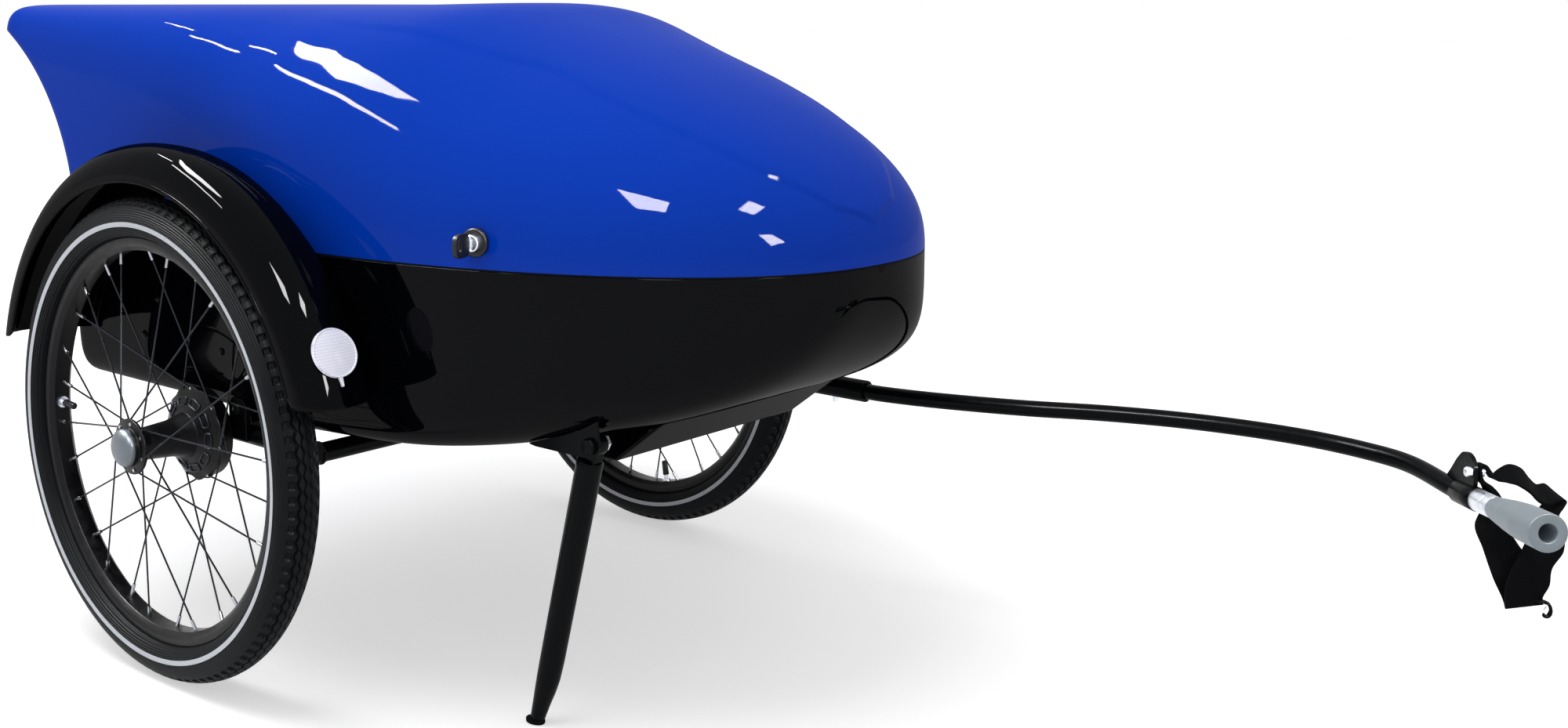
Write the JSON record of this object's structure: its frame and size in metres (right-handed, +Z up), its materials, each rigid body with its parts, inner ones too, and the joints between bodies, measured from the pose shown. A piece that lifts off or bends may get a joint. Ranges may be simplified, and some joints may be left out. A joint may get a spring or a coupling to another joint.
{
  "type": "bicycle cargo trailer",
  "caption": "Bicycle trailer: moulded tub with a hinged lid and cam lock, spoked wheels under mudguards, folding stand, and a bowed tow bar with a swivel coupling and safety strap.",
  "frame": {"origin": "middle of the footprint, on the ground", "axes": "+X forwards towards the bicycle, +Y to the trailer's left, +Z up"},
  "size_m": [1.6318, 0.8546, 0.691],
  "materials": {
    "blue_gelcoat": "high gloss",
    "black_gelcoat": "high gloss",
    "tyre_rubber": "matt, moulded tread",
    "seal_rubber": "matt",
    "black_alloy": "black anodised, satin",
    "black_paint": "powder coated",
    "zinc": "zinc plated",
    "steel": "turned",
    "grey_cap": "satin",
    "grey_polymer": "satin",
    "black_plastic": "fine grain",
    "white_reflector": "faceted",
    "webbing": "woven"
  },
  "bodies": {
    "chassis": {"tub": "black_gelcoat", "rim_seal": "seal_rubber", "tub_hinge_left": "steel", "tub_hinge_right": "steel", "hinge_pin_left": "steel", "hinge_pin_right": "steel", "lock_strike": "zinc", "frame": "black_paint", "tow_bar": "black_paint", "tow_bar_pin": "zinc", "coupling_sleeve": "zinc", "strap_lug": "black_paint", "strap_bolt": "zinc", "safety_strap": "webbing", "snap_hook": "black_paint", "stand_bracket": "black_paint", "stand_pivot_bolt": "black_paint", "stand_pivot_nut": "zinc", "stand_stop": "seal_rubber", "left_stub_axle": "steel", "left_axle_nut": "zinc", "left_back_plate": "black_paint", "left_mudguard": "black_gelcoat", "left_reflector": "white_reflector", "right_stub_axle": "steel", "right_axle_nut": "zinc", "right_back_plate": "black_paint", "right_mudguard": "black_gelcoat", "right_reflector": "white_reflector"},
    "lid": {"lid": "blue_gelcoat", "lid_hinge_left": "steel", "lid_hinge_right": "steel", "lock_body": "black_plastic", "lock_nut": "zinc"},
    "lock": {"lock_plug": "zinc", "key": "black_plastic", "lock_cam": "zinc"},
    "left_wheel": {"left_tyre": "tyre_rubber", "left_rim": "black_alloy", "left_hub": "black_alloy", "left_inner_tube": "seal_rubber", "left_valve": "black_plastic", "left_bearing_inner": "steel", "left_bearing_outer": "steel", "left_dust_cap": "grey_cap"},
    "right_wheel": {"right_tyre": "tyre_rubber", "right_rim": "black_alloy", "right_hub": "black_alloy", "right_inner_tube": "seal_rubber", "right_valve": "black_plastic", "right_bearing_inner": "steel", "right_bearing_outer": "steel", "right_dust_cap": "grey_cap"},
    "kickstand": {"stand_leg": "black_paint", "stand_foot": "seal_rubber"},
    "swivel_coupling": {"coupling": "grey_polymer"},
    "gate": {"hook_gate": "zinc"}
  },
  "joints": [
    {"name": "lid_hinge", "type": "hinge", "parent": "chassis", "child": "lid", "pos_m": [-0.6684, -0.011, 0.4525], "axis": [0, -1, 0], "range_deg": [0, 75]},
    {"name": "lock_turn", "type": "hinge", "parent": "lid", "child": "lock", "pos_m": [0.0167, -0.27693, 0.478], "axis": [0.285, -0.9585, 0], "range_deg": [0, 90]},
    {"name": "left_wheel_spin", "type": "hinge", "parent": "chassis", "child": "left_wheel", "pos_m": [-0.3583, 0.355, 0.25], "axis": [0, 1, 0], "continuous": true},
    {"name": "right_wheel_spin", "type": "hinge", "parent": "chassis", "child": "right_wheel", "pos_m": [-0.3583, -0.377, 0.25], "axis": [0, 1, 0], "continuous": true},
    {"name": "stand_fold", "type": "hinge", "parent": "chassis", "child": "kickstand", "pos_m": [0.1022, -0.211, 0.2915], "axis": [0, -1, 0], "range_deg": [0, 100]},
    {"name": "coupling_swivel", "type": "hinge", "parent": "chassis", "child": "swivel_coupling", "pos_m": [0.80402, 0.20995, 0.25236], "axis": [0.6405, -0.7634, 0.0837], "continuous": true},
    {"name": "gate_hinge", "type": "hinge", "parent": "chassis", "child": "gate", "pos_m": [0.77848, 0.32392, 0.15143], "axis": [0.6405, -0.7634, 0.0837], "range_deg": [0, 35], "stiffness_Nm_per_rad": 0.005}
  ]
}
